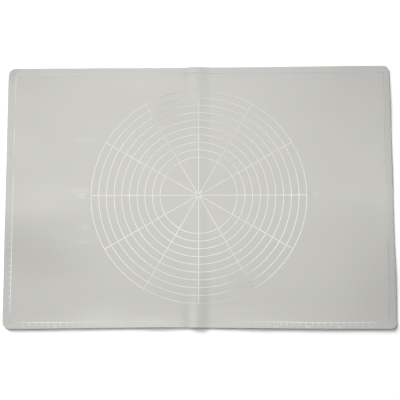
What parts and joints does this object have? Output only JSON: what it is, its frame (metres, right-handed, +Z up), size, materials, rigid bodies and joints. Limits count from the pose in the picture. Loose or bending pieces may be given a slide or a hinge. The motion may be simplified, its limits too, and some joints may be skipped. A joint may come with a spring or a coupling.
{
  "type": "silicone baking mat",
  "caption": "Flexible rectangular silicone pastry mat with printed rings, spokes and centimetre rulers, folding in half along a middle crease.",
  "frame": {"origin": "centre of the underside, on the plane the mat lies on, below the middle of the printed rings", "axes": "+X along the mat's length towards the 0 degree label, +Y across it away from the bottom ruler, +Z up out of the printed face"},
  "size_m": [0.629, 0.429, 0.0053],
  "materials": {
    "top_silicone": "satin light warm grey silicone",
    "underside_silicone": "fine matt light warm grey silicone",
    "glass_cloth": "plain-woven glass-fibre cloth",
    "print_ink": "matt off-white silicone ink"
  },
  "bodies": {
    "left_half": {"underside_skin_left": "underside_silicone", "glass_cloth_left": "glass_cloth", "top_skin_left": "top_silicone", "rings_left": "print_ink", "spokes_left": "print_ink", "frame_line_left": "print_ink", "bottom_ruler_ticks_left": "print_ink", "bottom_ruler_numerals_left": "print_ink", "left_ruler_ticks": "print_ink", "left_ruler_numerals": "print_ink", "angle_label_180": "print_ink"},
    "right_half": {"underside_skin_right": "underside_silicone", "glass_cloth_right": "glass_cloth", "top_skin_right": "top_silicone", "rings_right": "print_ink", "spokes_right": "print_ink", "frame_line_right": "print_ink", "bottom_ruler_ticks_right": "print_ink", "bottom_ruler_numerals_right": "print_ink", "angle_label_0": "print_ink"}
  },
  "joints": [
    {"name": "centre_fold", "type": "hinge", "parent": "left_half", "child": "right_half", "pos_m": [-0.004, 0, 0.0053], "axis": [0, -1, 0], "range_deg": [0, 179.5]}
  ]
}
